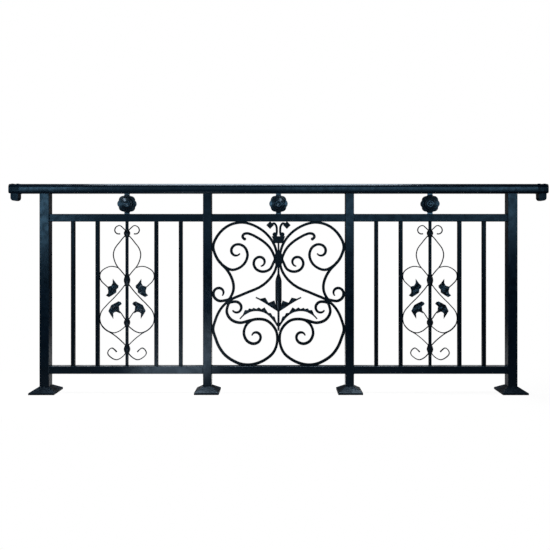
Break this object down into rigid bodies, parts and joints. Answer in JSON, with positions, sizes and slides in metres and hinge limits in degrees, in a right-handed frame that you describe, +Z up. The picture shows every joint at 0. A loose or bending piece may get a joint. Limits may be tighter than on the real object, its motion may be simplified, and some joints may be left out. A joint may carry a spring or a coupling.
{
  "type": "balcony railing",
  "caption": "Iron balcony railing with a loaf-shaped handrail, square posts on hipped feet, picket bays with vine ornaments, rosettes and a scrollwork centre panel.",
  "frame": {"origin": "middle of the underside of the left end post's base plate", "axes": "+X along the railing to the right as seen from the front, the front faces -Y, +Z up"},
  "size_m": [2.847, 0.134, 1.107],
  "materials": {
    "handrail": "satin blue-black powder coat",
    "cast_ornament": "satin blue-black powder coat",
    "post": "satin blue-black powder coat",
    "base_plate": "satin blue-black powder coat",
    "foot_cover": "satin blue-black powder coat",
    "rail_and_picket": "satin blue-black powder coat",
    "scroll_bar": "satin blue-black powder coat"
  },
  "bodies": {
    "root": {"handrail": "handrail", "handrail_end_left": "cast_ornament", "handrail_end_right": "cast_ornament", "end_post_left": "post", "inner_post_left": "post", "inner_post_right": "post", "end_post_right": "post", "end_plate_left": "base_plate", "inner_plate_left": "base_plate", "inner_plate_right": "base_plate", "end_plate_right": "base_plate", "end_foot_left": "foot_cover", "inner_foot_left": "foot_cover", "inner_foot_right": "foot_cover", "end_foot_right": "foot_cover", "mid_rail_left": "rail_and_picket", "mid_rail_centre": "rail_and_picket", "mid_rail_right": "rail_and_picket", "bottom_rail_left": "rail_and_picket", "bottom_rail_centre": "rail_and_picket", "bottom_rail_right": "rail_and_picket", "rosette_left": "cast_ornament", "rosette_centre": "cast_ornament", "rosette_right": "cast_ornament", "pickets_left": "rail_and_picket", "pickets_right": "rail_and_picket", "bay_bar_left": "scroll_bar", "bay_bar_right": "scroll_bar", "vines_left": "scroll_bar", "vines_right": "scroll_bar", "vine_collars_left": "cast_ornament", "vine_collars_right": "cast_ornament", "vine_leaves_left": "cast_ornament", "vine_leaves_right": "cast_ornament", "panel_scrolls_left": "scroll_bar", "panel_scrolls_right": "scroll_bar", "panel_collar": "cast_ornament", "panel_knots": "cast_ornament", "panel_crown": "cast_ornament", "panel_spear": "cast_ornament", "panel_leaves": "cast_ornament"}
  },
  "joints": []
}
